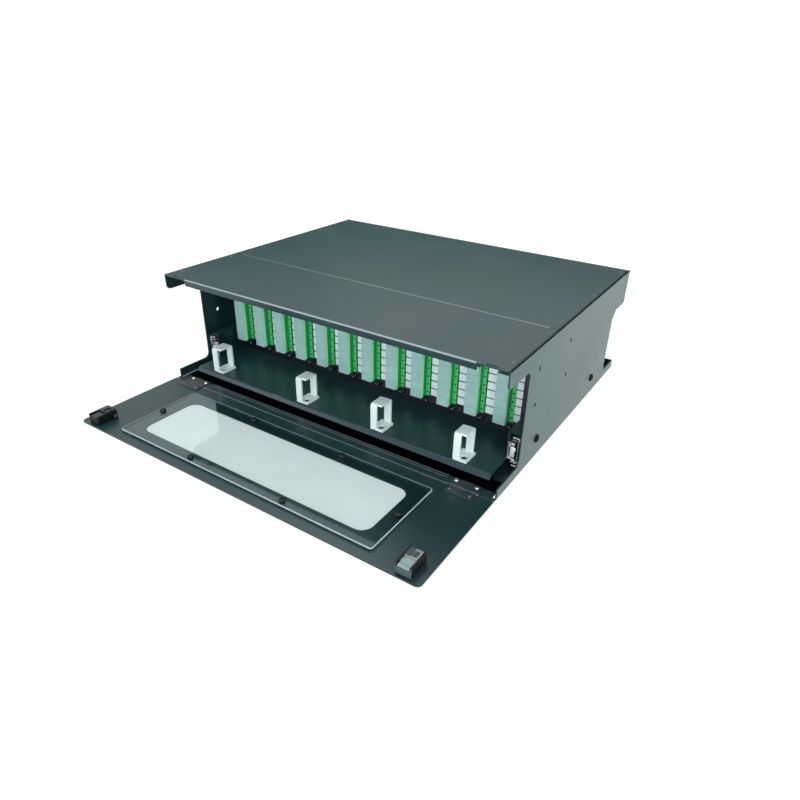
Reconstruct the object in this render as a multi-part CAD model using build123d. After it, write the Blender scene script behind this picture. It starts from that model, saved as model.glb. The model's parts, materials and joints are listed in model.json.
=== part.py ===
from build123d import *
import os

os.makedirs("parts", exist_ok=True)

# Chassis
body_width = 436.0  # across the outer faces of the side walls
body_depth = 350.0
body_height = 132.0
sheet = 1.5  # thickness of every steel sheet

# Side walls
front_cut_depth = 47.0
front_low_prong = 11.0
front_high_prong = 18.0
rear_cut_depth = 42.0
rear_low_prong = 10.0
rear_high_prong = 42.0
rear_cut_slant = 10.0
cut_radius = 7.0
prong_radius = 5.0
flange_width = 13.5
top_flange_setback = 14.0
low_flange_setback = 60.0
flange_rear_setback = 6.0

# Rack ear holes in the side walls
ear_hole_radius = 2.2
ear_hole_front = 70.0
ear_hole_low = 69.0
ear_pitch_y = 81.5
ear_pitch_z = 39.0

# Covers and base plate
cover_gap = 0.6  # round the edges of the covers
cover_seam = 111.5
lip_side = 32.5  # from the outer face of the wall to the end of the front lip
lip_drop = 8.0
bend_radius = 2.0  # outside radius of the folds of the covers
lip_lean = 1.4  # of the lower edge of the front lip, toward the rear
base_setback = 26.0
rear_lip_height = 10.0

# Telescopic slides
slide_length = 250.0
slide_setback = 52.0
slide_height = 33.0
slide_bottom = 5.5
slide_width = 13.5  # from the wall to the tray
slide_sheet = 1.2
outer_lip = 8.5
middle_lip = 7.4
inner_lip = 7.4
ball_space = 2.2  # between the flanges of one member and the next
cage_gap = 0.3
cage_side_gap = 0.5
cage_setback = 10.0
web_step = 2.7  # from the web of the cabinet member to that of the middle one
slide_screw_head = 3.4
slide_screw_rise = 2.0
slide_screw_front = 88.0
slide_screw_pitch = 168.5

# Drawer tray
tray_floor = 12.0  # height of its upper face
tray_setback = 13.5
tray_recess = 10.5  # of the riser, behind the lower edge of the slope
tray_front_height = 8.0
tray_bend = 19.0
tray_rear = 320.0
tray_rear_rise = 20.0
tray_flange_start = 52.0
tray_flange_top = 32.0
guard_top = 43.1  # of the angle strips that cover the slides
guard_gap = 2.4  # from the wall to the angle strip
strip_gap = 0.4  # from the front edges of the walls to the ends of the hinge strip
strip_side = 4.0  # from the outer face of the wall to the end of the hinge strip
hem_rise = 0.8  # of the hems that stand along the front bend
hem_width = 1.2
hem_shares = ((-0.97, -0.389), (-0.315, 0.229), (0.303, 0.97))  # of half the tray's width

# Modules and adapters
module_count = 12
rack_side_gap = 2.0  # from the tray's side to the first module
module_gap = 0.4
plate_thickness = 1.2
plate_front = 94.0
plate_bottom = 20.0
adapter_count = 6
adapter_pitch = 9.5
adapter_gap = 0.2
adapter_width = 13.4
adapter_inset = 4.0  # from the module's left side
adapter_first = 33.3  # height of the lowest adapter's middle
adapter_front = 11.3  # from the front of the plate
adapter_rear = 14.0
left_ear_width = 3.8
right_ear_width = 4.3
ear_thickness = 2.0
port_width = 10.6
port_height = 6.6
port_depth = 8.0
cap_thickness = 2.0
cap_plug = 6.0
cap_gap = 0.15
knob_radius = 3.2
knob_length = 9.0
knob_offset = 20.0
knob_sides = 10

# Frame behind the module plates
frame_height = 104.0
frame_foot = 17.0
frame_overlap = 4.0
frame_side_gap = 0.3
frame_side = 5.0  # from the tray's side to the window of the frame

# Cable rings
ring_shares = (-0.8310, -0.1690, 0.3365, 0.8245)  # of half the tray's width
ring_width = 15.0
ring_foot_side = 2.4  # of the foot, beyond the right side of the loop
ring_depth = 21.2
ring_height = 31.2
ring_wall = 2.4
ring_radius = 3.0
ring_front_post = 7.4  # width of the post at the left of the front edge
ring_rear_post = 8.3  # width of the post at the right of the rear edge
ring_hole = 3.5
ring_hole_share = 0.63  # of the width of the foot, from its left side
ring_hole_setback = 6.5
ring_front = 19.2

# Door
edge_gap = 0.8  # from the hinge axis to the edges of the door and the hinge strip
window_offset = 3.4  # from the middle of the door toward its far edge
door_corner = 5.0
window_side = 70.0  # from the door's side to the window
window_height = 72.0
window_corner = 12.0
pane_side = 53.5  # from the door's side to the pane
pane_height = 100.0
pane_thickness = 3.0
pane_corner = 3.0

# Hinges
hinge_setback = 5.0  # axis in front of the chassis
hinge_height = 2.0
hinge_side = 32.5  # from the door's side to the middle of a hinge
hinge_width = 29.0
hinge_leaf = 12.0
leaf_thickness = 1.0
knuckle_radius = 1.9
knuckle_gap = 0.3
notch_gap = 0.4  # round the knuckles, in the door and the strip
middle_knuckle = 11.0
pin_radius = 0.9
pin_clearance = 0.05

# Latches on the door
latch_side = 18.0  # from the door's side to the middle of a latch
latch_width = 16.0
latch_length = 24.0
latch_base = 6.8  # height of the block under the slider
latch_corner = 1.5
latch_edge = 3.8  # from the block to the door's far edge
rail_wall = 1.2
slider_thickness = 1.6
slider_gap = 0.3
rail_lip = 0.8
rail_lip_thickness = 0.8
pull_rise = 0.5
pull_length = 11.0
pull_frame = 1.4
pull_depth = 1.2
tongue_width = 11.0
tongue_bevel = 1.2
tongue_travel = 4.5
slot_gap = 0.5

# Places that follow from the sizes
front = -body_depth / 2
rear = body_depth / 2
outer_half = body_width / 2
inner_half = outer_half - sheet
tray_half = inner_half - slide_width
lip_half_width = outer_half - lip_side
strip_half_width = outer_half - strip_side
hinge_place = outer_half - hinge_side
latch_place = outer_half - latch_side
window_width = body_width - 2 * window_side
pane_width = body_width - 2 * pane_side
ring_places = [share * tray_half for share in ring_shares]
rack_half = tray_half - rack_side_gap
module_pitch = 2 * rack_half / module_count
frame_window_half = tray_half - frame_side
cover_under = body_height - sheet
hinge_y = front - hinge_setback
door_far = hinge_y - (body_height - hinge_height)
door_near = hinge_y - edge_gap
door_middle = (door_far + door_near) / 2
window_middle = door_middle - window_offset
slider_bottom = sheet + latch_base + slider_gap
slider_top = slider_bottom + slider_thickness
slot_y = hinge_y + (slider_bottom + slider_top) / 2 - hinge_height
member_step = slide_sheet + ball_space
latch_far = door_far + latch_edge
latch_near = latch_far + latch_length
channel_half = latch_width / 2 - rail_wall
field_bottom = adapter_first - adapter_pitch / 2
field_top = field_bottom + adapter_count * adapter_pitch
plate_top = field_top + field_bottom - plate_bottom


def slab(x_span, y_span, z_span):
    """Block between three pairs of limits."""
    spans = (x_span, y_span, z_span)
    middles = [(low + high) / 2 for low, high in spans]
    return Pos(*middles) * Box(*[high - low for low, high in spans])


def rod_x(radius, x_span, y, z):
    """Round rod that lies along X."""
    middle = (x_span[0] + x_span[1]) / 2
    return Pos(middle, y, z) * Rot(0, 90, 0) * Cylinder(radius, x_span[1] - x_span[0])


def rod_z(radius, z_span, x, y):
    """Round rod that stands along Z."""
    middle = (z_span[0] + z_span[1]) / 2
    return Pos(x, y, middle) * Cylinder(radius, z_span[1] - z_span[0])


def along_x(outline, x_span):
    """Outline drawn in Y and Z, drawn out between two places on X."""
    return extrude(Plane.YZ.offset(x_span[0]) * outline, amount=x_span[1] - x_span[0])


def bent_outline(path, thickness):
    """Section of a bent sheet: the path is one face, the other lies to its right."""
    normals = []
    for (y0, z0), (y1, z1) in zip(path, path[1:]):
        length = ((y1 - y0) ** 2 + (z1 - z0) ** 2) ** 0.5
        normals.append(((z1 - z0) / length, -(y1 - y0) / length))
    others = []
    for index, (y, z) in enumerate(path):
        before = normals[max(index - 1, 0)]
        after = normals[min(index, len(normals) - 1)]
        share = thickness / (1 + before[0] * after[0] + before[1] * after[1])
        others.append((y + share * (before[0] + after[0]), z + share * (before[1] + after[1])))
    return make_face(Polyline(*path, *reversed(others), close=True))


def mirrored(part):
    return mirror(part, about=Plane.YZ)


def save(name, *solids):
    """Writes one node, with its separate solids side by side."""
    pieces = [solid for part in solids for solid in part.solids()]
    export_step(pieces[0] if len(pieces) == 1 else Compound(children=pieces), f"parts/{name}.step")


def save_pair(name, part):
    """Writes the right-hand piece and its mirror image."""
    save("right_" + name, part)
    save("left_" + name, mirrored(part))


def hinge_notches(direction):
    """Room for the knuckles of both hinges, on one side of the hinge axis."""
    half = hinge_width / 2 + notch_gap
    across = sorted((hinge_y, hinge_y + direction * (knuckle_radius + notch_gap)))
    notch = slab((hinge_place - half, hinge_place + half), across, (-1, sheet + 1))
    return [notch, mirrored(notch)]


def slide_screw_places():
    return [front + slide_screw_front, front + slide_screw_front + slide_screw_pitch]


def slide_middle_height():
    return slide_bottom + slide_height / 2


def side_wall():
    """Right side wall with its two cable cuts, its flanges and its holes."""
    outline = Pos(0, body_height / 2) * Rectangle(body_depth, body_height)
    cut_top = body_height - front_high_prong
    cut = Pos(front, (front_low_prong + cut_top) / 2)
    cut *= Rectangle(2 * front_cut_depth, cut_top - front_low_prong)
    cut = fillet(cut.vertices().sort_by(Axis.X)[-2:], cut_radius)
    rear_top = body_height - rear_high_prong
    rear_cut = Pos(rear, (rear_low_prong + rear_top) / 2)
    rear_cut *= Rectangle(2 * rear_cut_depth, rear_top - rear_low_prong)
    inner_low, inner_high = rear_cut.vertices().sort_by(Axis.X)[:2].sort_by(Axis.Y)
    rear_cut = chamfer(inner_high, rear_cut_slant)
    rear_cut = fillet(rear_cut.vertices().sort_by_distance((inner_low.X, inner_low.Y))[:1], cut_radius)
    outline -= cut + rear_cut
    tip = outline.vertices().sort_by_distance((front, cut_top))[:1]
    outline = fillet(tip, prong_radius)
    wall = along_x(outline, (inner_half, outer_half))
    across = (inner_half - flange_width, inner_half)
    far = rear - flange_rear_setback
    wall += slab(across, (front + top_flange_setback, far), (cover_under - sheet, cover_under))
    wall += slab(across, (front + low_flange_setback, far), (sheet, 2 * sheet))
    through = (inner_half - 1, outer_half + 1)
    for step_y in (0, ear_pitch_y):
        for step_z in (0, ear_pitch_z):
            wall -= rod_x(ear_hole_radius, through, front + ear_hole_front + step_y, ear_hole_low + step_z)
    return wall


def base_plate():
    """Floor of the chassis with its upturned rear lip."""
    path = [(rear, rear_lip_height), (rear, 0), (front + base_setback, 0)]
    return along_x(bent_outline(path[::-1], -sheet), (-inner_half, inner_half))


def front_cover():
    """Front top cover with a folded lip that leaves the latch corners free."""
    edge = inner_half - cover_gap
    seam = front + cover_seam - cover_gap / 2
    path = [(front + lip_lean, body_height - lip_drop), (front, body_height), (seam, body_height)]
    section = bent_outline(path, sheet)
    section = fillet(section.vertices().sort_by_distance((front, body_height))[:1], bend_radius)
    cover = along_x(section, (-lip_half_width, lip_half_width))
    for side in (-1, 1):
        across = sorted((side * lip_half_width, side * edge))
        cover += slab(across, (front, seam), (cover_under, body_height))
    slot = (tongue_width + 2 * slot_gap, slider_thickness + 2 * slot_gap)
    for side in (-1, 1):
        cover -= Pos(side * latch_place, slot_y, cover_under) * Box(*slot, 4 * sheet)
    return cover


def rear_cover():
    """Rear top cover with a lip at its rear edge."""
    edge = inner_half - cover_gap
    start = front + cover_seam + cover_gap / 2
    path = [(start, body_height), (rear, body_height), (rear, body_height - lip_drop)]
    section = bent_outline(path, sheet)
    section = fillet(section.vertices().sort_by_distance((rear, body_height))[:1], bend_radius)
    return along_x(section, (-edge, edge))


def channel(web_x, lip, bottom, top, toward):
    """Slide member of C section: an upright web and two flanges."""
    end = web_x + toward * slide_sheet
    web = (min(web_x, end), max(web_x, end))
    lips = (min(web_x, web_x + toward * lip), max(web_x, web_x + toward * lip))
    run = (front + slide_setback, front + slide_setback + slide_length)
    member = slab(web, run, (bottom, top))
    member += slab(lips, run, (bottom, bottom + slide_sheet))
    return member + slab(lips, run, (top - slide_sheet, top))


def slide_outer():
    """Cabinet member of the right slide, screwed to the wall."""
    return channel(inner_half, outer_lip, slide_bottom, slide_bottom + slide_height, -1)


def slide_middle():
    """Middle member of the right slide."""
    bottom = slide_bottom + member_step
    top = slide_bottom + slide_height - member_step
    return channel(inner_half - web_step, middle_lip, bottom, top, -1)


def slide_inner():
    """Drawer member of the right slide, fixed to the tray's flange."""
    bottom = slide_bottom + 2 * member_step
    top = slide_bottom + slide_height - 2 * member_step
    return channel(tray_half, inner_lip, bottom, top, 1)


def ball_cages():
    """Four flat ball cages of the right slide, in the spaces between its members."""
    start = front + slide_setback
    run = (start + cage_setback, start + slide_length - cage_setback)
    middle_web = inner_half - web_step
    across = (middle_web - middle_lip + cage_side_gap, middle_web - slide_sheet - cage_side_gap)
    cages = []
    for level in (1, 2):
        low = slide_bottom + level * slide_sheet + (level - 1) * ball_space + cage_gap
        high = low + ball_space - 2 * cage_gap
        mirror_sum = 2 * slide_bottom + slide_height
        cages.append(slab(across, run, (low, high)))
        cages.append(slab(across, run, (mirror_sum - high, mirror_sum - low)))
    return cages


def slide_screws():
    """Heads of the screws that hold the cabinet members to the walls."""
    screws = []
    z = slide_middle_height()
    for place in slide_screw_places():
        screw = rod_x(slide_screw_head, (outer_half, outer_half + slide_screw_rise), place, z)
        screws += [screw, mirrored(screw)]
    return screws


def drawer_tray():
    """Bent sheet: sloped front edge with hems, floor and flanges, on a recessed riser and hinge strip."""
    strip_front = hinge_y + edge_gap
    riser = front + tray_setback + tray_recess
    path = [
        (front + tray_setback, tray_front_height),
        (front + tray_bend, tray_floor),
        (front + tray_rear, tray_floor),
        (front + tray_rear, tray_floor + tray_rear_rise),
    ]
    tray = along_x(bent_outline(path, sheet), (-tray_half, tray_half))
    strip = (-strip_half_width, strip_half_width)
    tray += slab(strip, (strip_front, riser + sheet), (0, sheet))
    tray += slab((-outer_half, outer_half), (strip_front, front - strip_gap), (0, sheet))
    tray += slab((-tray_half, tray_half), (riser, riser + sheet), (0, tray_floor - sheet / 2))
    along = (front + tray_flange_start, front + tray_rear)
    for side in (-1, 1):
        across = sorted((side * tray_half, side * (tray_half - sheet)))
        tray += slab(across, along, (tray_floor - sheet, tray_flange_top))
    bend = front + tray_bend
    for left, right in hem_shares:
        hem = (bend - hem_width, bend)
        tray += slab((left * tray_half, right * tray_half), hem, (tray_floor - sheet, tray_floor + hem_rise))
    return tray - hinge_notches(1)


def slide_guard():
    """Right angle strip that stands on the flange of the tray and covers the slide."""
    along = (front + slide_setback, front + slide_setback + slide_length)
    inner = tray_half - sheet
    upright = slab((inner, tray_half), along, (tray_flange_top, guard_top))
    return upright + slab((inner, inner_half - guard_gap), along, (guard_top - sheet, guard_top))


def module_frame():
    """C-shaped frame with one long window, behind the module plates."""
    face = front + plate_front + plate_thickness
    path = [
        (face + frame_foot, frame_height),
        (face, frame_height),
        (face, tray_floor),
        (face + frame_foot, tray_floor),
    ]
    half = tray_half - sheet - frame_side_gap
    frame = along_x(bent_outline(path[::-1], sheet), (-half, half))
    window = (plate_bottom + frame_overlap, plate_top - frame_overlap)
    span = (-frame_window_half, frame_window_half)
    return frame - slab(span, (face - 1, face + sheet + 1), window)


def module_left(index):
    return -rack_half + index * module_pitch


def module_plate(index):
    """Face plate of one module, with one slot for its adapters."""
    left = module_left(index)
    face = front + plate_front
    across = (left + module_gap / 2, left + module_pitch - module_gap / 2)
    plate = slab(across, (face, face + plate_thickness), (plate_bottom, plate_top))
    slot = (left + adapter_inset - adapter_gap, left + adapter_inset + adapter_width + adapter_gap)
    return plate - slab(slot, (face - 1, face + plate_thickness + 1), (field_bottom, field_top))


def adapter(index, row):
    """One adapter: body, flange with two ears, and a port at each end."""
    left = module_left(index) + adapter_inset
    right = left + adapter_width
    face = front + plate_front
    z = adapter_first + row * adapter_pitch
    half = (adapter_pitch - adapter_gap) / 2
    body = slab((left, right), (face - adapter_front, face + adapter_rear), (z - half, z + half))
    ears = (left - left_ear_width, right + right_ear_width)
    body += slab(ears, (face - ear_thickness, face), (z - half, z + half))
    port = Pos((left + right) / 2, face - adapter_front + port_depth / 2, z)
    return body - port * Box(port_width, port_depth, port_height)


def dust_cap(index, row):
    """Frosted cap: a flat front and a plug in the adapter's port."""
    left = module_left(index) + adapter_inset
    face = front + plate_front - adapter_front
    z = adapter_first + row * adapter_pitch
    half = (adapter_pitch - adapter_gap) / 2
    cap = slab((left, left + adapter_width), (face - cap_thickness, face), (z - half, z + half))
    plug = (port_width - 2 * cap_gap, cap_plug, port_height - 2 * cap_gap)
    return cap + Pos(left + adapter_width / 2, face + cap_plug / 2, z) * Box(*plug)


def module_knob(index, z):
    """Faceted knob that holds a module plate to the frame."""
    face = front + plate_front
    seat = Plane((module_left(index) + knob_offset, face, z), z_dir=(0, -1, 0))
    return extrude(seat * RegularPolygon(knob_radius, knob_sides), amount=knob_length)


def cable_ring(place):
    """Upright plastic loop with staggered posts, on a wider foot with a screw hole."""
    near = front + ring_front
    far = near + ring_depth
    left = place - ring_width / 2
    right = place + ring_width / 2
    loop_right = right - ring_foot_side
    outer = Rectangle(ring_depth, ring_height)
    outer = fillet(outer.vertices().group_by(Axis.Y)[-1], ring_radius)
    inner = Rectangle(ring_depth - 2 * ring_wall, ring_height - 2 * ring_wall)
    loop = Pos((near + far) / 2, tray_floor + ring_height / 2) * (outer - inner)
    ring = along_x(loop, (left, right))
    above = (tray_floor + ring_wall, tray_floor + ring_height + 1)
    ring -= slab((loop_right, right + 1), (near - 1, far + 1), above)
    ring -= slab((left + ring_front_post, right + 1), (near - 1, near + ring_wall), above)
    ring -= slab((left - 1, loop_right - ring_rear_post), (far - ring_wall, far + 1), above)
    hole = left + ring_hole_share * ring_width
    return ring - rod_z(ring_hole, (tray_floor - 1, tray_floor + ring_wall + 1), hole, near + ring_hole_setback)


def door_panel():
    """Flat door sheet with its window and room for the hinge knuckles."""
    blank = Rectangle(body_width, door_near - door_far)
    blank = fillet(blank.vertices().group_by(Axis.Y)[0], door_corner)
    window = RectangleRounded(window_width, window_height, window_corner)
    blank = Pos(0, door_middle) * blank - Pos(0, window_middle) * window
    panel = extrude(blank, amount=sheet)
    return panel - hinge_notches(-1)


def window_pane():
    """Clear plate screwed to the inside of the door."""
    blank = RectangleRounded(pane_width, pane_height, pane_corner)
    return extrude(Pos(0, window_middle, sheet) * blank, amount=pane_thickness)


def hinge_leaf_part(side, spans):
    """Right hinge leaf on one side of the axis, with its knuckles."""
    reach = hinge_y + side * hinge_leaf
    low = hinge_height - leaf_thickness / 2
    left = hinge_place - hinge_width / 2
    start = hinge_y + side * (knuckle_radius + knuckle_gap)
    leaf = slab((left, left + hinge_width), sorted((start, reach)), (low, low + leaf_thickness))
    for span in spans:
        leaf += slab(span, sorted((hinge_y, start)), (low, low + leaf_thickness))
        leaf += rod_x(knuckle_radius, span, hinge_y, hinge_height)
    bore = pin_radius + pin_clearance
    return leaf - rod_x(bore, (left - 1, left + hinge_width + 1), hinge_y, hinge_height)


def drawer_leaf():
    """Leaf on the tray's strip, with the two end knuckles."""
    half = middle_knuckle / 2 + knuckle_gap
    end = hinge_width / 2
    spans = [(hinge_place - end, hinge_place - half), (hinge_place + half, hinge_place + end)]
    return hinge_leaf_part(1, spans)


def door_leaf():
    """Leaf on the door, with the middle knuckle."""
    return hinge_leaf_part(-1, [(hinge_place - middle_knuckle / 2, hinge_place + middle_knuckle / 2)])


def hinge_pin():
    return rod_x(pin_radius, (hinge_place - hinge_width / 2, hinge_place + hinge_width / 2), hinge_y, hinge_height)


def latch_housing():
    """Right latch block: a base and two lipped rails for the slider."""
    lip_low = slider_top + slider_gap
    top = lip_low + rail_lip_thickness
    outline = Rectangle(latch_width, latch_length)
    outline = fillet(outline.vertices(), latch_corner)
    block = extrude(Pos(latch_place, (latch_far + latch_near) / 2, sheet) * outline, amount=top - sheet)
    run = (latch_far - 1, latch_near - rail_wall)
    block -= slab((latch_place - channel_half, latch_place + channel_half), run, (sheet + latch_base, lip_low))
    gap = channel_half - rail_lip
    return block - slab((latch_place - gap, latch_place + gap), run, (lip_low - 0.1, top + 1))


def latch_slider():
    """Slider with a square finger pull and a bevelled tongue."""
    half = channel_half - slider_gap
    back = latch_near - rail_wall - slider_gap
    slider = slab((latch_place - half, latch_place + half), (latch_far, back), (slider_bottom, slider_top))
    gap = channel_half - rail_lip - slider_gap
    pull_far = back - pull_length
    pull_top = slider_top + slider_gap + rail_lip_thickness + pull_rise
    slider += slab((latch_place - gap, latch_place + gap), (pull_far, back), (slider_top, pull_top))
    well_x = (latch_place - gap + pull_frame, latch_place + gap - pull_frame)
    well_y = (pull_far + pull_frame, back - pull_frame)
    slider -= slab(well_x, well_y, (pull_top - pull_depth, pull_top + 1))
    side = half - tongue_width / 2
    for edge in (-1, 1):
        outer = sorted((latch_place + edge * half, latch_place + edge * (half - side)))
        if side > 0:
            slider -= slab(outer, (latch_far - 1, latch_far + tongue_travel + 1), (0, pull_top))
    tip = slider.faces().sort_by(Axis.Y)[0].edges().sort_by(Axis.Z)[-1:]
    return chamfer(tip, tongue_bevel)


save_pair("side_wall", side_wall())
save("base_plate", base_plate())
save("front_cover", front_cover())
save("rear_cover", rear_cover())
save_pair("slide_outer", slide_outer())
save_pair("slide_middle", slide_middle())
save_pair("slide_guard", slide_guard())
save_pair("slide_inner", slide_inner())
cages = ball_cages()
save("right_ball_cages", *cages)
save("left_ball_cages", *[mirrored(cage) for cage in cages])
save("slide_screws", *slide_screws())
save("drawer_tray", drawer_tray())
save("module_frame", module_frame())
caps = []
knobs = []
for index in range(module_count):
    number = f"{index + 1:02d}"
    rows = range(adapter_count)
    save(f"module_plate_{number}", module_plate(index))
    save(f"adapters_{number}", *[adapter(index, row) for row in rows])
    caps += [dust_cap(index, row) for row in rows]
    knobs.append(module_knob(index, (plate_bottom + field_bottom) / 2))
    knobs.append(module_knob(index, (plate_top + field_top) / 2))
save("dust_caps", *caps)
save("module_knobs", *knobs)
for index, place in enumerate(ring_places):
    save(f"cable_ring_{index + 1}", cable_ring(place))
save("door_panel", door_panel())
save("window_pane", window_pane())
save_pair("drawer_leaf", drawer_leaf())
save_pair("door_leaf", door_leaf())
save("hinge_pins", hinge_pin(), mirrored(hinge_pin()))
save_pair("latch_housing", latch_housing())
save_pair("latch_slider", latch_slider())
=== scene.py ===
import bmesh
import bpy
import json
import math
from mathutils import Matrix, Vector


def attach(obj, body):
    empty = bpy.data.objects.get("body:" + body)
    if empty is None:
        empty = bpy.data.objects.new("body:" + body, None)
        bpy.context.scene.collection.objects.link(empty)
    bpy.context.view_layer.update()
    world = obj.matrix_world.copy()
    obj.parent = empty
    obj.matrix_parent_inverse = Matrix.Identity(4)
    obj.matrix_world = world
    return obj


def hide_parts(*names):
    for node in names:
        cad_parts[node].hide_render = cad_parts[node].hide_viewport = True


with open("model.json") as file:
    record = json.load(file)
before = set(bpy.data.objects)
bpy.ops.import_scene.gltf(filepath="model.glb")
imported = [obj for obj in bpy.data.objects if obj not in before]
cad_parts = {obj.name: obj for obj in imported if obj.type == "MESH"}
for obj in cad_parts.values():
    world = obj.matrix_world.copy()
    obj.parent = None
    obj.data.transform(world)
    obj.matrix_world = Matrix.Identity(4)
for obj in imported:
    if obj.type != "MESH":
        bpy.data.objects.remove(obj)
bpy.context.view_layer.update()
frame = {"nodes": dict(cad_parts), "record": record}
nodes = frame["nodes"]
scene = bpy.context.scene
scene.view_settings.view_transform = "Standard"

# Sizes and places of the part are in millimetres, and MM turns them into the scene's metres
MM = 0.001
FRONT_Y = -175.0  # front edge of the chassis
WALL_X = 218.0  # outer face of the right wall
TOP_Z = 132.0  # upper face of the covers
SHEET_TOP = 1.5  # upper face of the hinge strip and of the door panel
SHARP = math.radians(35)  # an edge with a larger angle counts as sharp
NEAR = 1e-6  # points closer than this, in metres, are one point

# ---------------------------------------------------------------- materials
NOISE_LOW = 0.3  # most of a noise value lies between these two
NOISE_HIGH = 0.7
PATCH_DETAIL = 4.0
GRAIN_DETAIL = 2.0
GRAIN_DEPTH = 0.05 * MM
FACING_LOW = 0.4  # part of a normal along an axis where painted side light begins
FACING_FULL = 0.9  # and where it is complete
FOLD_LOW = -0.2  # the same for the painted highlight on a fold, as the product of the normal's Y and Z
FOLD_FULL = -0.45
RECESS_Y = FRONT_Y + 7.5  # start of the painted shade in the recess under the edge of the tray
RECESS_TOP = 7.8
RECESS_FADE = 0.3
RECESS_BLACK = (3, 4, 6)
COOL_GLOSS = (0.7, 0.95, 1.0, 1.0)
looks = {}


def srgb(red, green, blue):
    """Linear colour from a display colour of 0 to 255."""
    parts = []
    for value in (red, green, blue):
        value /= 255
        parts.append(value / 12.92 if value <= 0.04045 else ((value + 0.055) / 1.055) ** 2.4)
    return (*parts, 1.0)


def noise(tree, scale, detail, stretch):
    """Noise in the piece's own coordinates, stretched where asked."""
    vector = tree.nodes.new("ShaderNodeTexCoord").outputs["Object"]
    if stretch:
        mapping = tree.nodes.new("ShaderNodeMapping")
        mapping.inputs["Scale"].default_value = stretch
        tree.links.new(vector, mapping.inputs["Vector"])
        vector = mapping.outputs["Vector"]
    texture = tree.nodes.new("ShaderNodeTexNoise")
    texture.inputs["Scale"].default_value = scale
    texture.inputs["Detail"].default_value = detail
    tree.links.new(vector, texture.inputs["Vector"])
    return texture.outputs["Fac"]


def mapped(tree, value, low, high, to_low=0.0, to_high=1.0):
    """Value carried from one range to another and held at its ends."""
    node = tree.nodes.new("ShaderNodeMapRange")
    limits = {"From Min": low, "From Max": high, "To Min": to_low, "To Max": to_high}
    for socket, limit in limits.items():
        node.inputs[socket].default_value = limit
    tree.links.new(value, node.inputs["Value"])
    return node.outputs["Result"]


def combined(tree, operation, first, second):
    """Result of an operation on two values."""
    node = tree.nodes.new("ShaderNodeMath")
    node.operation = operation
    tree.links.new(first, node.inputs[0])
    tree.links.new(second, node.inputs[1])
    return node.outputs[0]


def axes(tree, kind):
    """X, Y and Z of the piece's own coordinates or normals."""
    place = tree.nodes.new("ShaderNodeTexCoord")
    split = tree.nodes.new("ShaderNodeSeparateXYZ")
    tree.links.new(place.outputs[kind], split.inputs["Vector"])
    return split.outputs


def surface(name, dark, light, rough, cloud, grain, relief, stretch=None, **sockets):
    """Look whose colour, gloss and relief vary with noise; dark and light are display colours."""
    material = bpy.data.materials.new(name)
    material.use_nodes = True
    tree = material.node_tree
    shader = tree.nodes["Principled BSDF"]
    patches = noise(tree, cloud, PATCH_DETAIL, stretch)
    ramp = tree.nodes.new("ShaderNodeValToRGB")
    ends = ((NOISE_LOW, dark), (NOISE_HIGH, light))
    for element, (position, colour) in zip(ramp.color_ramp.elements, ends):
        element.position = position
        element.color = srgb(*colour)
    tree.links.new(patches, ramp.inputs["Fac"])
    tree.links.new(ramp.outputs["Color"], shader.inputs["Base Color"])
    tree.links.new(mapped(tree, patches, NOISE_LOW, NOISE_HIGH, *rough), shader.inputs["Roughness"])
    bump = tree.nodes.new("ShaderNodeBump")
    bump.inputs["Strength"].default_value = relief
    bump.inputs["Distance"].default_value = GRAIN_DEPTH
    tree.links.new(noise(tree, grain, GRAIN_DETAIL, stretch), bump.inputs["Height"])
    tree.links.new(bump.outputs["Normal"], shader.inputs["Normal"])
    for socket, value in sockets.items():
        shader.inputs[socket.replace("_", " ")].default_value = value
    looks[name] = material


def blend(material, share, tint):
    """Mixes a share of a display colour into a material's own colour."""
    tree = material.node_tree
    base = tree.nodes["Principled BSDF"].inputs["Base Color"]
    own = base.links[0].from_socket
    mix = tree.nodes.new("ShaderNodeMix")
    mix.data_type = "RGBA"
    colours = [socket for socket in mix.inputs if socket.type == "RGBA"]
    colours[1].default_value = srgb(*tint)
    tree.links.new(share, mix.inputs["Factor"])
    tree.links.new(own, colours[0])
    result = [socket for socket in mix.outputs if socket.type == "RGBA"][0]
    tree.links.new(result, base)


def side_light_tint(material, axis, sign, tint, amount):
    """Painted light: faces that look along one of the piece's axes take a share of another colour."""
    tree = material.node_tree
    facing = axes(tree, "Normal")[axis]
    blend(material, mapped(tree, facing, sign * FACING_LOW, sign * FACING_FULL, 0.0, amount), tint)


def fold_highlight_tint(material, tint, amount):
    """Painted highlight: folds between an upper face and a front face take a share of another colour."""
    tree = material.node_tree
    normal = axes(tree, "Normal")
    slant = combined(tree, "MULTIPLY", normal["Y"], normal["Z"])
    blend(material, mapped(tree, slant, FOLD_LOW, FOLD_FULL, 0.0, amount), tint)


def recess_shade(material):
    """Painted shade: paint goes black and dull in the recess, in the piece's own coordinates."""
    tree = material.node_tree
    shader = tree.nodes["Principled BSDF"]
    place = axes(tree, "Object")
    behind = mapped(tree, place["Y"], (RECESS_Y - RECESS_FADE) * MM, (RECESS_Y + RECESS_FADE) * MM)
    below = mapped(tree, place["Z"], RECESS_TOP * MM, (RECESS_TOP - RECESS_FADE) * MM)
    inside = combined(tree, "MULTIPLY", behind, below)
    blend(material, inside, RECESS_BLACK)
    for socket in ("Specular IOR Level", "Sheen Weight"):
        gloss = mapped(tree, inside, 0.0, 1.0, shader.inputs[socket].default_value, 0.0)
        tree.links.new(gloss, shader.inputs[socket])


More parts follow.
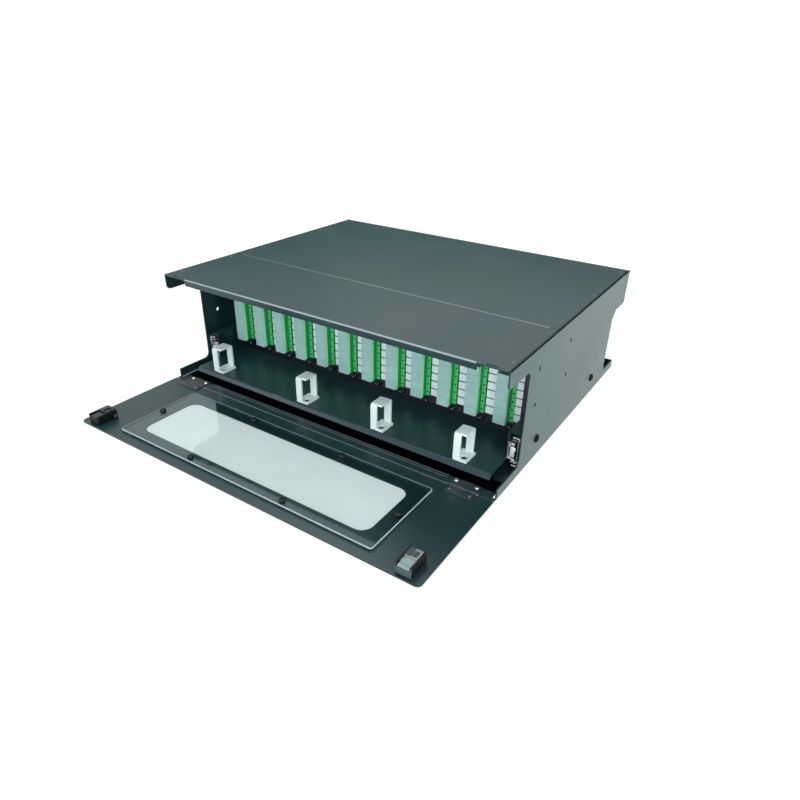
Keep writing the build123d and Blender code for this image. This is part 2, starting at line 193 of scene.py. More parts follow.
# Each has its darker and lighter colour, range of roughness, scale of patches and of grain, and relief.
# The first eleven have the names of the CAD slots.
surface("black_paint", (17, 37, 41), (20, 41, 45), (0.30, 0.36), 12.0, 1500.0, 0.12,
        Specular_Tint=(0.75, 0.96, 1.0, 1.0), Sheen_Weight=0.1, Sheen_Roughness=0.4,
        Sheen_Tint=(0.2, 1.0, 0.95, 1.0))
surface("zinc_steel", (120, 126, 130), (146, 152, 156), (0.24, 0.34), 60.0, 500.0, 0.1,
        stretch=(1.0, 0.06, 1.0), Metallic=0.8)
surface("bearing_steel", (196, 198, 202), (222, 224, 226), (0.12, 0.2), 80.0, 700.0, 0.05, Metallic=1.0)
surface("hinge_steel", (26, 42, 45), (36, 52, 55), (0.26, 0.34), 60.0, 1200.0, 0.1)
surface("black_screw", (6, 11, 13), (12, 18, 20), (0.34, 0.44), 300.0, 2500.0, 0.1,
        Specular_Tint=COOL_GLOSS, Specular_IOR_Level=0.3)
surface("green_plastic", (16, 150, 66), (32, 166, 80), (0.34, 0.46), 90.0, 1800.0, 0.1)
surface("frosted_plastic", (140, 184, 180), (154, 196, 190), (0.42, 0.55), 70.0, 1500.0, 0.1)
surface("white_plastic", (206, 222, 224), (220, 234, 234), (0.4, 0.5), 60.0, 1500.0, 0.08,
        Specular_IOR_Level=0.3)
surface("black_plastic", (8, 15, 17), (14, 22, 24), (0.26, 0.36), 120.0, 2000.0, 0.12, Specular_Tint=COOL_GLOSS)
surface("grey_plastic", (116, 134, 132), (134, 152, 149), (0.34, 0.42), 120.0, 2000.0, 0.1)
surface("clear_plastic", (195, 211, 210), (200, 215, 214), (0.0, 0.004), 25.0, 20.0, 0.0005,
        IOR=1.49, Transmission_Weight=1.0, Specular_Tint=(0.78, 0.95, 1.0, 1.0))
surface("module_plate_paint", (34, 32, 44), (44, 42, 56), (0.3, 0.38), 40.0, 1500.0, 0.12)
surface("label_card", (218, 232, 243), (232, 244, 251), (0.5, 0.6), 120.0, 1600.0, 0.06)
surface("hole_shadow", (4, 30, 16), (6, 38, 20), (0.5, 0.7), 200.0, 2000.0, 0.1)
surface("dull_screw", (84, 92, 94), (108, 116, 118), (0.26, 0.36), 400.0, 2500.0, 0.06, Metallic=0.8)
surface("bright_screw", (190, 196, 198), (216, 222, 224), (0.16, 0.24), 400.0, 2500.0, 0.06, Metallic=1.0)
surface("wall_screw", (5, 13, 13), (9, 19, 19), (0.5, 0.6), 300.0, 2500.0, 0.1, Specular_IOR_Level=0.08)
surface("cover_screw_highlight", (64, 82, 83), (74, 92, 93), (0.3, 0.4), 300.0, 2000.0, 0.1)
surface("slide_end", (196, 202, 208), (222, 228, 232), (0.26, 0.36), 200.0, 1500.0, 0.08, Metallic=0.3)
# Two copies of one near-black plastic for the latch housings; the second gets a painted reflection on its front faces
for name in ("latch_body", "latch_body_painted_reflection"):
    surface(name, (5, 11, 13), (9, 16, 18), (0.45, 0.55), 120.0, 2000.0, 0.1, Specular_IOR_Level=0.2)
surface("latch_well_shade", (30, 46, 48), (40, 57, 59), (0.3, 0.4), 150.0, 2000.0, 0.1)
surface("latch_boss", (6, 12, 14), (10, 17, 19), (0.12, 0.18), 200.0, 2000.0, 0.05)
surface("pane_rim_highlight", (150, 172, 176), (164, 186, 190), (0.2, 0.3), 60.0, 900.0, 0.04)
surface("shaded_paint", (6, 10, 14), (9, 14, 18), (0.34, 0.42), 40.0, 1500.0, 0.12,
        Specular_Tint=(0.7, 0.9, 1.0, 1.0))
surface("strip_ridge_highlight", (66, 75, 80), (78, 87, 92), (0.3, 0.4), 60.0, 1500.0, 0.08)
surface("cover_joint_shade", (2, 4, 5), (4, 7, 8), (0.6, 0.7), 60.0, 1500.0, 0.05, Specular_IOR_Level=0.0)
surface("seam_highlight", (118, 132, 130), (132, 146, 144), (0.3, 0.4), 60.0, 1200.0, 0.08)
surface("grey_card", (56, 66, 64), (64, 74, 72), (0.8, 0.9), 2.0, 40.0, 0.05)
# Painted light: the caps' right faces take a bright mint that stands for light coming through the plastic
side_light_tint(looks["frosted_plastic"], "X", 1, (176, 255, 214), 0.95)
# Painted light: front faces of the zinc steel are lighter
side_light_tint(looks["zinc_steel"], "Y", -1, (206, 212, 218), 0.9)
# Painted light: front faces of the green plastic are lighter
side_light_tint(looks["green_plastic"], "Y", -1, (84, 214, 128), 0.8)
# Painted reflection: front faces of the right latch housing take the colour of the door paint
side_light_tint(looks["latch_body_painted_reflection"], "Y", -1, (74, 90, 89), 0.9)

# Nodes take the look of their slot, and some of them another one
for part in frame["record"]["subparts"]:
    mesh = nodes[part["node"]].data
    mesh.materials.clear()
    mesh.materials.append(looks[part["material_slot"]])
other_looks = {name: "module_plate_paint" for name in nodes if name.startswith("module_plate")}
# Painted shade: the module frame takes a near-black paint
other_looks["module_frame"] = "shaded_paint"
other_looks["left_latch_housing"] = "latch_body"
other_looks["right_latch_housing"] = "latch_body_painted_reflection"
# Painted shade: the left latch's slider takes black plastic, while the right one keeps its pale grey
other_looks["left_latch_slider"] = "black_plastic"
for name, look in other_looks.items():
    nodes[name].data.materials[0] = looks[look]


def own_paint(name):
    """Copy of the black paint for one node alone."""
    paint = looks["black_paint"].copy()
    nodes[name].data.materials[0] = paint
    return paint


# Painted highlight along the front cover's fold
fold_highlight_tint(own_paint("front_cover"), (150, 166, 166), 0.9)
# Painted light: faces of the right wall that look along +X take a lighter colour
side_light_tint(own_paint("right_side_wall"), "X", 1, (54, 74, 74), 0.9)
# Painted shade in the recess under the tray's front edge
recess_shade(own_paint("drawer_tray"))


# ------------------------------------------------------ softened CAD edges
def soften(starts, width, segments=2):
    """Joins the split corners and rounds the sharp edges of the nodes whose names start so."""
    for name, node in nodes.items():
        if name.startswith(starts):
            weld = node.modifiers.new("weld", "WELD")
            weld.merge_threshold = NEAR
            bevel = node.modifiers.new("round", "BEVEL")
            bevel.width = width * MM
            bevel.segments = segments
            bevel.limit_method = "ANGLE"
            bevel.angle_limit = SHARP


soften(("left_side_wall", "right_side_wall", "front_cover", "rear_cover", "base_plate", "door_panel",
        "drawer_tray", "module_frame"), 0.5)
soften(("cable_ring", "left_slide", "right_slide"), 0.5, 3)
soften(("left_latch", "right_latch"), 0.4, 3)
soften(("adapters", "left_drawer_leaf", "right_drawer_leaf", "left_door_leaf", "right_door_leaf"), 0.25)

# ------------------------------------------------------------- mesh helpers
ROUND_SIDES = 24
KNOB_SIDES = 20
SMALL_SIDES = 16
HEAD_PROFILE = ((0.94, 0.0), (1.0, 0.12), (1.0, 0.35), (0.93, 0.68), (0.78, 0.9))  # of a head's radius and rise
CROSS_ARM = 0.8  # cross recess: reach and half width of its arms as shares of the flat top
CROSS_HALF = 0.22
CROSS_DEPTH = 0.55  # share of the head's rise
CROSS_TAPER = 0.75
TO_FRONT = Matrix.Rotation(math.radians(90), 4, "X")  # these turn a shape's Z to -Y, +X and -X
TO_RIGHT = Matrix.Rotation(math.radians(90), 4, "Y")
TO_LEFT = Matrix.Rotation(math.radians(-90), 4, "Y")


def at(x, y, z):
    """Matrix that moves a shape to a place."""
    return Matrix.Translation((x * MM, y * MM, z * MM))


def new_piece(name, shape, body, slot, look=None, smooth=True):
    """Mesh object from a bmesh, riding on a body, with a look of its own or that of its slot."""
    mesh = bpy.data.meshes.new(name)
    bmesh.ops.recalc_face_normals(shape, faces=shape.faces[:])
    shape.to_mesh(mesh)
    shape.free()
    if smooth:
        mesh.shade_smooth()
        mesh.set_sharp_from_angle(angle=SHARP)
    piece = bpy.data.objects.new(name, mesh)
    scene.collection.objects.link(piece)
    mesh.materials.append(looks[look or slot])
    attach(piece, body)
    return piece


def gathered(parts):
    """One bmesh from shapes, each with the matrices of its places."""
    whole = bmesh.new()
    for shape, places in parts:
        pattern = bpy.data.meshes.new("pattern")
        shape.to_mesh(pattern)
        shape.free()
        for place in places:
            before = len(whole.verts)
            whole.from_mesh(pattern)
            whole.verts.ensure_lookup_table()
            bmesh.ops.transform(whole, matrix=place, verts=whole.verts[before:])
        bpy.data.meshes.remove(pattern)
    return whole


def copies(shape, places):
    """One bmesh with the shape repeated at each place."""
    return gathered([(shape, places)])


def circle(shape, radius, height, sides):
    """New points of a bmesh in a circle about Z."""
    points = []
    for step in range(sides):
        angle = 2 * math.pi * step / sides
        points.append(shape.verts.new((radius * math.cos(angle) * MM, radius * math.sin(angle) * MM, height * MM)))
    return points


def turned(profile, sides=ROUND_SIDES):
    """Closed round body from pairs of radius and height, from the bottom up."""
    shape = bmesh.new()
    rings = []
    for radius, height in profile:
        if radius == 0:
            rings.append([shape.verts.new((0, 0, height * MM))])
        else:
            rings.append(circle(shape, radius, height, sides))
    for low, high in zip(rings, rings[1:]):
        for step in range(sides):
            after = (step + 1) % sides
            corners = [low[step % len(low)], low[after % len(low)], high[after % len(high)], high[step % len(high)]]
            corners = list(dict.fromkeys(corners))
            if len(corners) > 2:
                shape.faces.new(corners)
    if len(rings[0]) > 1:
        shape.faces.new(rings[0][::-1])
    if len(rings[-1]) > 1:
        shape.faces.new(rings[-1])
    return shape


def screw_head(radius, rise, flat, sides=ROUND_SIDES):
    """Pan head on Z with a cross recess in its flat top, which is given as a share of the radius."""
    shape = turned([(radius * wide, rise * high) for wide, high in (*HEAD_PROFILE, (flat, 1.0))], sides)
    shape.faces.ensure_lookup_table()
    shape.faces.remove(shape.faces[-1])
    arm = radius * flat * CROSS_ARM
    half = radius * flat * CROSS_HALF
    floor = rise - rise * CROSS_DEPTH
    outline = [(arm, -half), (arm, half), (half, half), (half, arm), (-half, arm), (-half, half),
               (-arm, half), (-arm, -half), (-half, -half), (-half, -arm), (half, -arm), (half, -half)]
    ring = circle(shape, radius * flat, rise, sides)
    upper = [shape.verts.new((x * MM, y * MM, rise * MM)) for x, y in outline]
    lower = [shape.verts.new((x * CROSS_TAPER * MM, y * CROSS_TAPER * MM, floor * MM)) for x, y in outline]
    edges = []
    for loop in (ring, upper):
        for start, end in zip(loop, loop[1:] + loop[:1]):
            edges.append(shape.edges.new((start, end)))
    bmesh.ops.triangle_fill(shape, edges=edges, use_beauty=True)
    for step in range(len(outline)):
        after = (step + 1) % len(outline)
        shape.faces.new((upper[step], upper[after], lower[after], lower[step]))
    shape.faces.new(lower)
    bmesh.ops.remove_doubles(shape, verts=shape.verts[:], dist=NEAR)
    return shape


def rounded_loop(width, height, radius, steps=4):
    """Points of a rounded rectangle about the origin."""
    points = []
    for quarter, (sx, sy) in enumerate(((1, 1), (-1, 1), (-1, -1), (1, -1))):
        for step in range(steps + 1):
            angle = math.pi / 2 * (quarter + step / steps)
            points.append((sx * (width / 2 - radius) + radius * math.cos(angle),
                           sy * (height / 2 - radius) + radius * math.sin(angle)))
    return points


def level(outline, height, wide=1.0, long=1.0):
    """Outline at a height, drawn in or not."""
    return [(x * wide, y * long, height) for x, y in outline]


def stacked(loops, ring=False):
    """Body through loops of equal length, closed at both ends or from the last loop to the first."""
    shape = bmesh.new()
    rows = [[shape.verts.new((x * MM, y * MM, z * MM)) for x, y, z in loop] for loop in loops]
    for low, high in zip(rows, rows[1:] + rows[:1] if ring else rows[1:]):
        for step in range(len(low)):
            after = (step + 1) % len(low)
            shape.faces.new((low[step], low[after], high[after], high[step]))
    if not ring:
        shape.faces.new(rows[0][::-1])
        shape.faces.new(rows[-1])
    return shape


# ------------------------------------------------------------ module details
MODULES = 12
MODULE_PITCH = 33.5
RACK_LEFT = -201.0
ROWS = 6
ROW_PITCH = 9.5
FIRST_ROW = 33.3
PLATE_Y = -81.0  # front face of the module plates
EAR_Y = -83.0  # front face of the adapters' ears
SKIRT_Y = -94.25  # front edge of the caps' skirts
PORT_OFFSET = 10.7  # the offsets count from a module's left edge
EAR_OFFSET = 19.5
KNOB_OFFSET = 20.0
KNOB_HEIGHTS = (24.275, 89.825)
LABEL_OFFSET = 27.6
LAST_LABEL_OFFSET = 24.6  # the last column's labels are narrower and keep clear of the wall
LAST_LABEL_WIDTH = 0.8
LABEL_SIZE = (9.8, 8.3, 0.6)  # width, height and corner radius
LABEL_RISE = 0.3
FIELD_SIZE = (6.6, 5.4, 0.4)
FIELD_RISE = 0.18
FIELD_TAPER = 0.96
SKIRT_STEPS = ((6.7, 4.55, 0.0), (6.82, 4.68, 0.05), (6.82, 4.68, 4.8), (6.7, 4.55, 5.0))  # half sizes, way back
SKIRT_CORNER = 0.25
module_lefts = [RACK_LEFT + MODULE_PITCH * index for index in range(MODULES)]
row_heights = [FIRST_ROW + ROW_PITCH * row for row in range(ROWS)]

# Label cards beside the adapters, each with a shallow inner field
outer = rounded_loop(*LABEL_SIZE)
inner = rounded_loop(*FIELD_SIZE)
label = stacked([level(outer, 0.0), level(outer, LABEL_RISE), level(inner, LABEL_RISE),
                 level(inner, FIELD_RISE, FIELD_TAPER, FIELD_TAPER)])
places = [at(left + LABEL_OFFSET, PLATE_Y, z) @ TO_FRONT for left in module_lefts[:-1] for z in row_heights]
narrow = TO_FRONT @ Matrix.Diagonal((LAST_LABEL_WIDTH, 1.0, 1.0, 1.0))
places += [at(module_lefts[-1] + LAST_LABEL_OFFSET, PLATE_Y, z) @ narrow for z in row_heights]
new_piece("label_cards", copies(label, places), "drawer", "white_plastic", "label_card", smooth=False)

# Eyelets in the ears of the adapters, with a raised rim and a dark hole
places = [at(left + EAR_OFFSET, EAR_Y, z) @ TO_FRONT for left in module_lefts for z in row_heights]
eyelet = turned([(1.75, 0.0), (1.7, 0.18), (1.45, 0.28), (1.15, 0.22), (1.0, 0.05), (0, 0.05)], SMALL_SIDES)
new_piece("ear_eyelets", copies(eyelet, places), "drawer", "green_plastic")
plug = turned([(1.1, 0.0), (1.1, 0.08), (0.7, 0.14), (0, 0.16)], SMALL_SIDES)
new_piece("ear_holes", copies(plug, places), "drawer", "green_plastic", "hole_shadow")

# Skirts of the caps: sleeves that reach back over the adapters
loops = []
for half_width, half_height, back in SKIRT_STEPS:
    loops.append([(x, back, z) for x, z in rounded_loop(2 * half_width, 2 * half_height, SKIRT_CORNER, 2)])
places = [at(left + PORT_OFFSET, SKIRT_Y, z) for left in module_lefts for z in row_heights]
new_piece("cap_skirts", copies(stacked(loops), places), "drawer", "frosted_plastic", smooth=False)

# Push knobs: flange, grooved grip and domed end
knob = turned([(3.2, 0.0), (3.2, 0.8), (2.5, 1.1), (2.5, 3.0), (3.1, 3.4), (3.2, 4.0), (3.2, 5.0), (2.9, 5.3),
               (2.9, 5.8), (3.2, 6.1), (3.2, 7.2), (3.0, 8.1), (2.4, 8.7), (1.3, 8.95), (0, 9.0)], KNOB_SIDES)
places = [at(left + KNOB_OFFSET, PLATE_Y, z) @ TO_FRONT for left in module_lefts for z in KNOB_HEIGHTS]
piece = new_piece("push_knobs", copies(knob, places), "drawer", "black_plastic")
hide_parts("module_knobs")

# Screws in the feet of the cable rings
TRAY_HALF = 203.0
RING_SHARES = (-0.8310, -0.1690, 0.3365, 0.8245)  # of the tray's half width
FOOT_OFFSET = 1.95
FOOT_Y = -149.3
FOOT_TOP = 12.0
places = [at(share * TRAY_HALF + FOOT_OFFSET, FOOT_Y, FOOT_TOP) for share in RING_SHARES]
new_piece("ring_screws", copies(screw_head(3.2, 0.9, 0.6, SMALL_SIDES), places), "drawer", "black_screw")

# -------------------------------------------------------------- door details
PANE_WIDTH = 329.0
PANE_LENGTH = 100.0
PANE_CORNER = 3.0
PANE_Y = -248.8
PANE_BOTTOM = 1.55
PANE_TOP = 4.5
PANE_SCREW_X = 61.0
PANE_SCREW_Y = 44.0
PANE_END_SCREW_X = 158.0


def pane_loop(inset, height):
    """Outline of the pane, drawn in by an inset, at a height over its lower face."""
    outline = rounded_loop(PANE_WIDTH - 2 * inset, PANE_LENGTH - 2 * inset, PANE_CORNER - inset, 6)
    return [(x, y + PANE_Y, PANE_BOTTOM + height) for x, y in outline]


# Clear pane with rounded edges, and a pale rim along its upper edge: a painted highlight of that edge
pane_steps = ((0.45, 0.0), (0.13, 0.13), (0.0, 0.45), (0.0, 2.45), (0.13, 2.82), (0.5, 2.95))
pane = stacked([pane_loop(*step) for step in pane_steps])
piece = new_piece("clear_pane", pane, "door", "clear_plastic", smooth=False)
piece.visible_shadow = False
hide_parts("window_pane")
rim_steps = ((0.9, 2.96), (0.45, 3.0), (-0.02, 2.6), (-0.02, 1.9))
rim = stacked([pane_loop(*step) for step in rim_steps], ring=True)
new_piece("pane_rim_highlight", rim, "door", "clear_plastic", "pane_rim_highlight")
places = [at(x, PANE_Y + y, PANE_TOP) for x in (-PANE_SCREW_X, PANE_SCREW_X) for y in (-PANE_SCREW_Y, PANE_SCREW_Y)]
places += [at(x, PANE_Y, PANE_TOP) for x in (-PANE_END_SCREW_X, PANE_END_SCREW_X)]
new_piece("pane_screws", copies(screw_head(3.4, 2.6, 0.5), places), "door", "black_screw")

# Screws in both leaves of the hinges
HINGE_X = 185.5
HINGE_Y = -180.0
LEAF_TOP = 2.5
LEAF_SCREW_X = 11.0  # from the middle of a hinge and from its axis
LEAF_SCREW_Y = 7.4
hinge_xs = [side * (HINGE_X + step) for side in (-1, 1) for step in (-LEAF_SCREW_X, LEAF_SCREW_X)]
places = [at(x, HINGE_Y + LEAF_SCREW_Y, LEAF_TOP) for x in hinge_xs]
new_piece("strip_hinge_screws", copies(screw_head(2.2, 1.5, 0.5), places), "drawer", "hinge_steel", "bright_screw")
places = [at(x, HINGE_Y - LEAF_SCREW_Y, LEAF_TOP) for x in hinge_xs]
new_piece("door_hinge_screws", copies(screw_head(1.9, 0.9, 0.55), places), "door", "hinge_steel", "dull_screw")

# Pressed ridges along the hinge strip, in a lighter grey: painted highlights along them
RIDGE_END = 164.0
REAR_RIDGE_Y = -168.0
FRONT_RIDGE_Y = -171.6
section = ((-0.5, -0.05), (0.5, -0.05), (0.25, 0.3), (-0.25, 0.3))
for name, ridge_y in (("rear_strip_ridge", REAR_RIDGE_Y), ("front_strip_ridge", FRONT_RIDGE_Y)):
    ridge = stacked([[(x, ridge_y + y, SHEET_TOP + z) for y, z in section] for x in (-RIDGE_END, RIDGE_END)])
    new_piece(name, ridge, "drawer", "black_paint", "strip_ridge_highlight", smooth=False)

# ----------------------------------------------------------- chassis details
WALL_SCREW_YS = (-87.0, 81.5)
WALL_SCREW_Z = 22.0
places = []
for y in WALL_SCREW_YS:
    places.append(at(WALL_X, y, WALL_SCREW_Z) @ TO_RIGHT)
    places.append(at(-WALL_X, y, WALL_SCREW_Z) @ TO_LEFT)
piece = new_piece("wall_screws", copies(screw_head(4.5, 2.0, 0.62), places), "chassis", "black_screw", "wall_screw")
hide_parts("slide_screws")

# Pale strip at the rear cover's edge at the seam, wider to the right: a painted highlight of that edge
SEAM_Y = -63.1
SEAM_STEPS = ((-206.0, 0.25), (0.0, 0.55), (207.0, 0.75))  # place on X and half width
SEAM_TAPER = 0.6
SEAM_LOW = -0.1
SEAM_HIGH = 0.15
loops = []
for x, half in SEAM_STEPS:
    upper = SEAM_TAPER * half
    section = ((-half, SEAM_LOW), (half, SEAM_LOW), (upper, SEAM_HIGH), (-upper, SEAM_HIGH))
    loops.append([(x, SEAM_Y + y, TOP_Z + z) for y, z in section])
new_piece("cover_seam_edge", stacked(loops), "chassis", "black_paint", "seam_highlight", smooth=False)

# Near-black strips in the joints between the covers and the walls: painted shade
JOINT_END = 174.8
section = ((-1.0, -0.1), (-0.8, 0.06), (-0.1, 0.06), (0.06, -0.1), (0.06, -1.1), (-0.4, -1.1))
for name, sign in (("left_cover_joint", -1), ("right_cover_joint", 1)):
    joint = stacked([[(sign * (WALL_X + x), y, TOP_Z + z) for x, z in section] for y in (-JOINT_END, JOINT_END)])
    new_piece(name, joint, "chassis", "black_paint", "cover_joint_shade", smooth=False)

# The cover screws take a lighter grey than the paint: painted highlights on their heads
COVER_SCREW_X = 211.5
COVER_SCREW_YS = (20.0, 98.0, 132.0, 231.0, 334.0)  # from the front edge
places = [at(x, FRONT_Y + y, TOP_Z) for x in (-COVER_SCREW_X, COVER_SCREW_X) for y in COVER_SCREW_YS]
new_piece("cover_screws", copies(screw_head(2.6, 0.25, 0.8), places), "chassis", "black_paint", "cover_screw_highlight")

# Curled front ends of the slide members, as lines of x and z on the right side
SLIDE_END = -123.0
HALF_STRIP = 0.55
LIP_BACK = SLIDE_END + 0.3
LIP_FACE = SLIDE_END - 0.9
STOP_FACE = SLIDE_END - 1.2
CHAMFER = 0.3
LIP_TAPER = 0.5
STOP_TAPER_X = 0.72
STOP_TAPER_Z = 0.8
outer_hooks = [[(207.4, 37.9), (210.0, 37.95), (213.0, 37.8), (214.9, 36.2), (215.5, 33.0), (215.5, 31.0)],
               [(215.5, 19.0), (215.5, 11.0), (214.9, 8.0), (213.2, 6.4), (211.0, 6.05), (208.8, 6.1)]]
inner_hooks = [[(209.8, 29.4), (207.0, 30.2), (205.2, 29.0), (205.1, 27.2)],
               [(205.2, 16.0), (205.6, 13.8), (208.6, 12.6), (211.6, 11.6)]]
stop = [(205.9, 27.2), (208.6, 27.7), (211.4, 26.2), (211.5, 24.6), (210.3, 22.0), (210.7, 18.2), (210.0, 15.6),
        (205.9, 15.9)]
middle_x = sum(x for x, z in stop) / len(stop)
middle_z = sum(z for x, z in stop) / len(stop)
small_stop = [(middle_x + STOP_TAPER_X * (x - middle_x), middle_z + STOP_TAPER_Z * (z - middle_z)) for x, z in stop]


def band(points, half):
    """Outline of a strip of even width along a line of 2-D points."""
    sides = ([], [])
    for index, point in enumerate(points):
        before = Vector(points[max(index - 1, 0)])
        after = Vector(points[min(index + 1, len(points) - 1)])
        along = (after - before).normalized()
        for side, sign in zip(sides, (1, -1)):
            side.append((point[0] - sign * half * along.y, point[1] + sign * half * along.x))
    return sides[0] + sides[1][::-1]


def pressed(outline, small, face):
    """Body from the slide's end to a face in front of it, where its outline is the smaller one."""
    rows = ((outline, LIP_BACK), (outline, face + CHAMFER), (small, face))
    return stacked([[(x, y, z) for x, z in points] for points, y in rows])


def lips(hooks):
    """Bodies along the lines of a slide's curled end."""
    return [pressed(band(line, HALF_STRIP), band(line, LIP_TAPER * HALF_STRIP), LIP_FACE) for line in hooks]


both_sides = [Matrix.Identity(4), Matrix.Scale(-1, 4, (1, 0, 0))]
outer_shapes = lips(outer_hooks)
inner_shapes = lips(inner_hooks) + [pressed(stop, small_stop, STOP_FACE)]
for name, body, shapes in (("outer_slide_lips", "chassis", outer_shapes), ("inner_slide_lips", "drawer", inner_shapes)):
    new_piece(name, gathered([(shape, both_sides) for shape in shapes]), body, "zinc_steel", "slide_end")

# Dark plates on the top of each latch's pull and on the floor of its well: painted shade
LATCH_X = 200.0
SHADE_PLATE_Y = -289.2
PULL_TOP = 11.8
WELL_FLOOR = 10.6
SHADE_PLATE_PLACES = ((-3.3, PULL_TOP, 10.6), (1.9, WELL_FLOOR, 7.6))  # from the latch's middle on X, height, length
SHADE_PLATE_WIDTH = 4.6
SHADE_PLATE_DRAW = 0.2
SHADE_PLATE_RISE = 0.1
SINK = 0.05  # shade plates and slot pads reach this far into the face under them
for side, sign in (("left", -1), ("right", 1)):
    shade_plates = []
    for x, z, length in SHADE_PLATE_PLACES:
        lower = rounded_loop(SHADE_PLATE_WIDTH, length, 0.5)
        upper = rounded_loop(SHADE_PLATE_WIDTH - SHADE_PLATE_DRAW, length - SHADE_PLATE_DRAW, 0.4)
        shade_plate = stacked([level(lower, -SINK), level(upper, SHADE_PLATE_RISE)])
        shade_plates.append((shade_plate, [at(sign * LATCH_X + x, SHADE_PLATE_Y, z)]))
    new_piece(f"{side}_latch_inlays", gathered(shade_plates), f"{side}_latch", "black_plastic", "latch_well_shade", smooth=False)

# Boss beside the left latch, and in front of each latch a dark pad on the door: painted shade of the slot there
BOSS_X = 9.0 - LATCH_X
BOSS_Y = -285.8
SLOT_X = 199.0
SLOT_Y = -308.3
SLOT_SIZE = (10.0, 1.3, 0.6)  # width, length and corner radius
SLOT_RISE = 0.05
boss = turned([(2.3, 0.0), (2.3, 3.4), (2.1, 4.3), (1.5, 5.0), (0.7, 5.35), (0, 5.4)])
new_piece("left_latch_boss", copies(boss, [at(BOSS_X, BOSS_Y, SHEET_TOP)]), "door", "black_plastic", "latch_boss")
outline = rounded_loop(*SLOT_SIZE)
slot = stacked([level(outline, -SINK), level(outline, SLOT_RISE, 0.98, 0.9)])
places = [at(x, SLOT_Y, SHEET_TOP) for x in (-SLOT_X, SLOT_X)]
new_piece("door_slot_shades", copies(slot, places), "door", "black_plastic", "latch_body", smooth=False)

# -------------------------------------------------------- camera at the photo
CAMERA_PLACE = (0.39438, -0.61818, 0.36084)
CAMERA_RIGHT = Vector((0.8348, 0.5501, 0.0205))
CAMERA_UP = Vector((-0.2802, 0.3926, 0.8760))
CAMERA_FORWARD = Vector((-0.4739, 0.7370, -0.4819))
data = bpy.data.cameras.new("camera")
data.lens = 28.353
data.sensor_width = 36.0
data.clip_start = 0.01
data.clip_end = 50.0
camera = bpy.data.objects.new("camera", data)
scene.collection.objects.link(camera)
turn = Matrix((CAMERA_RIGHT, CAMERA_UP, -CAMERA_FORWARD)).transposed()
camera.matrix_world = Matrix.Translation(CAMERA_PLACE) @ turn.to_quaternion().to_matrix().to_4x4()
scene.camera = camera

# ------------------------------------------------------------ floor and light
SKY = (0.95, 0.98, 1.0, 1)
SKY_STRENGTH = 0.45
WHITE = (1, 1, 1, 1)
FLOOR_HALF = 6.0
FLOOR_Z = -0.0006
FLOOR_BOUNCE = (0.7, 0.7, 0.7, 1)
FLOOR_SHADE = (0.34, 0.34, 0.34, 1)
GLOW_NEAR = 0.8  # glow of the floor at these distances from the middle
GLOW_FAR = 1.0
NEAR_REACH = 0.4
FAR_REACH = 1.6


def show_background(tree, on_object, in_view, output):
    """Links the shader for light on the object and the one for rays that should meet the background."""
    path = tree.nodes.new("ShaderNodeLightPath")
    seen = combined(tree, "MAXIMUM", path.outputs["Is Camera Ray"], path.outputs["Is Glossy Ray"])
    seen = combined(tree, "MAXIMUM", seen, path.outputs["Is Transmission Ray"])
    mix = tree.nodes.new("ShaderNodeMixShader")
    tree.links.new(seen, mix.inputs["Fac"])
    tree.links.new(on_object.outputs[0], mix.inputs[1])
    tree.links.new(in_view.outputs[0], mix.inputs[2])
    tree.links.new(mix.outputs[0], tree.nodes[output].inputs["Surface"])


def studio_object(name, shape, look):
    """Mesh object from a bmesh that belongs to the studio and not to the part."""
    mesh = bpy.data.meshes.new(name)
    shape.to_mesh(mesh)
    shape.free()
    mesh.materials.append(look)
    thing = bpy.data.objects.new(name, mesh)
    scene.collection.objects.link(thing)
    return thing


world = bpy.data.worlds.new("studio")
scene.world = world
world.use_nodes = True
tree = world.node_tree
sky = tree.nodes["Background"]
sky.inputs["Color"].default_value = SKY
sky.inputs["Strength"].default_value = SKY_STRENGTH
white = tree.nodes.new("ShaderNodeBackground")
white.inputs["Color"].default_value = WHITE
show_background(tree, sky, white, "World Output")

# The floor bounces light, and in the picture it is white with a soft shadow
material = bpy.data.materials.new("studio_floor")
material.use_nodes = True
tree = material.node_tree
tree.nodes.remove(tree.nodes["Principled BSDF"])
bounce = tree.nodes.new("ShaderNodeBsdfDiffuse")
bounce.inputs["Color"].default_value = FLOOR_BOUNCE
shade = tree.nodes.new("ShaderNodeBsdfDiffuse")
shade.inputs["Color"].default_value = FLOOR_SHADE
reach = tree.nodes.new("ShaderNodeVectorMath")
reach.operation = "LENGTH"
tree.links.new(tree.nodes.new("ShaderNodeTexCoord").outputs["Object"], reach.inputs[0])
glow = tree.nodes.new("ShaderNodeEmission")
strength = mapped(tree, reach.outputs["Value"], NEAR_REACH, FAR_REACH, GLOW_NEAR, GLOW_FAR)
tree.links.new(strength, glow.inputs["Strength"])
shadowed = tree.nodes.new("ShaderNodeAddShader")
tree.links.new(shade.outputs[0], shadowed.inputs[0])
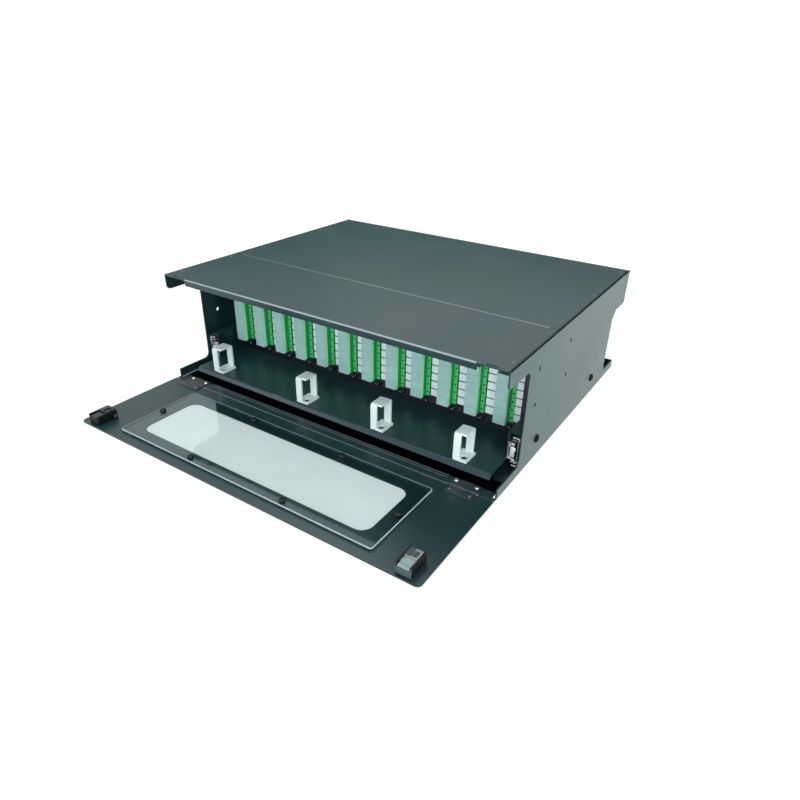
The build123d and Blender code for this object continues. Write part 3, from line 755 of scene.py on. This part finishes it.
tree.links.new(glow.outputs[0], shadowed.inputs[1])
show_background(tree, bounce, shadowed, "Material Output")
shape = bmesh.new()
bmesh.ops.create_grid(shape, x_segments=2, y_segments=2, size=FLOOR_HALF)
floor = studio_object("studio_floor", shape, material)
floor.location = (0, 0, FLOOR_Z)


def softbox(name, place, aim, width, height, power):
    """Rectangular lamp that looks at a point."""
    data = bpy.data.lights.new(name, "AREA")
    data.shape = "RECTANGLE"
    data.size = width
    data.size_y = height
    data.energy = power
    lamp = bpy.data.objects.new(name, data)
    lamp.location = place
    lamp.visible_transmission = False
    lamp.rotation_euler = (Vector(aim) - Vector(place)).to_track_quat("-Z", "Y").to_euler()
    scene.collection.objects.link(lamp)


softbox("overhead", (0.0, -0.1, 1.5), (0, -0.05, 0), 1.4, 1.4, 3.0)
softbox("rim", (-0.7, 0.42, 1.45), (0, -0.15, 0.1), 0.6, 0.6, 6.0)
softbox("key", (0.78, -0.56, 0.45), (0.218, -0.15, 0.07), 0.8, 0.8, 5.5)
softbox("back", (-0.5, 1.45, 1.0), (0.1, -0.1, 0.13), 1.4, 0.5, 1.05)
softbox("front", (0.1, -1.5, 0.24), (0, -0.1, 0.06), 1.4, 0.4, 9.5)
softbox("strip", (-0.78, -0.77, 1.06), (0, -0.17, 0.12), 1.5, 0.25, 3.5)

# Grey card round the rear and the left, which only the object's reflections show
CARD_RADIUS = 1.3
CARD_TOP = 0.63
CARD_START = 70.0  # degrees from +X
CARD_STEP = 3.6
CARD_COLUMNS = 25
shape = bmesh.new()
columns = []
for step in range(CARD_COLUMNS):
    angle = math.radians(CARD_START + CARD_STEP * step)
    foot = (CARD_RADIUS * math.cos(angle), CARD_RADIUS * math.sin(angle))
    columns.append([shape.verts.new((*foot, 0.0)), shape.verts.new((*foot, CARD_TOP))])
for first, second in zip(columns, columns[1:]):
    shape.faces.new((first[0], second[0], second[1], first[1]))
card = studio_object("grey_card", shape, looks["grey_card"])
card.visible_camera = False
card.visible_shadow = False
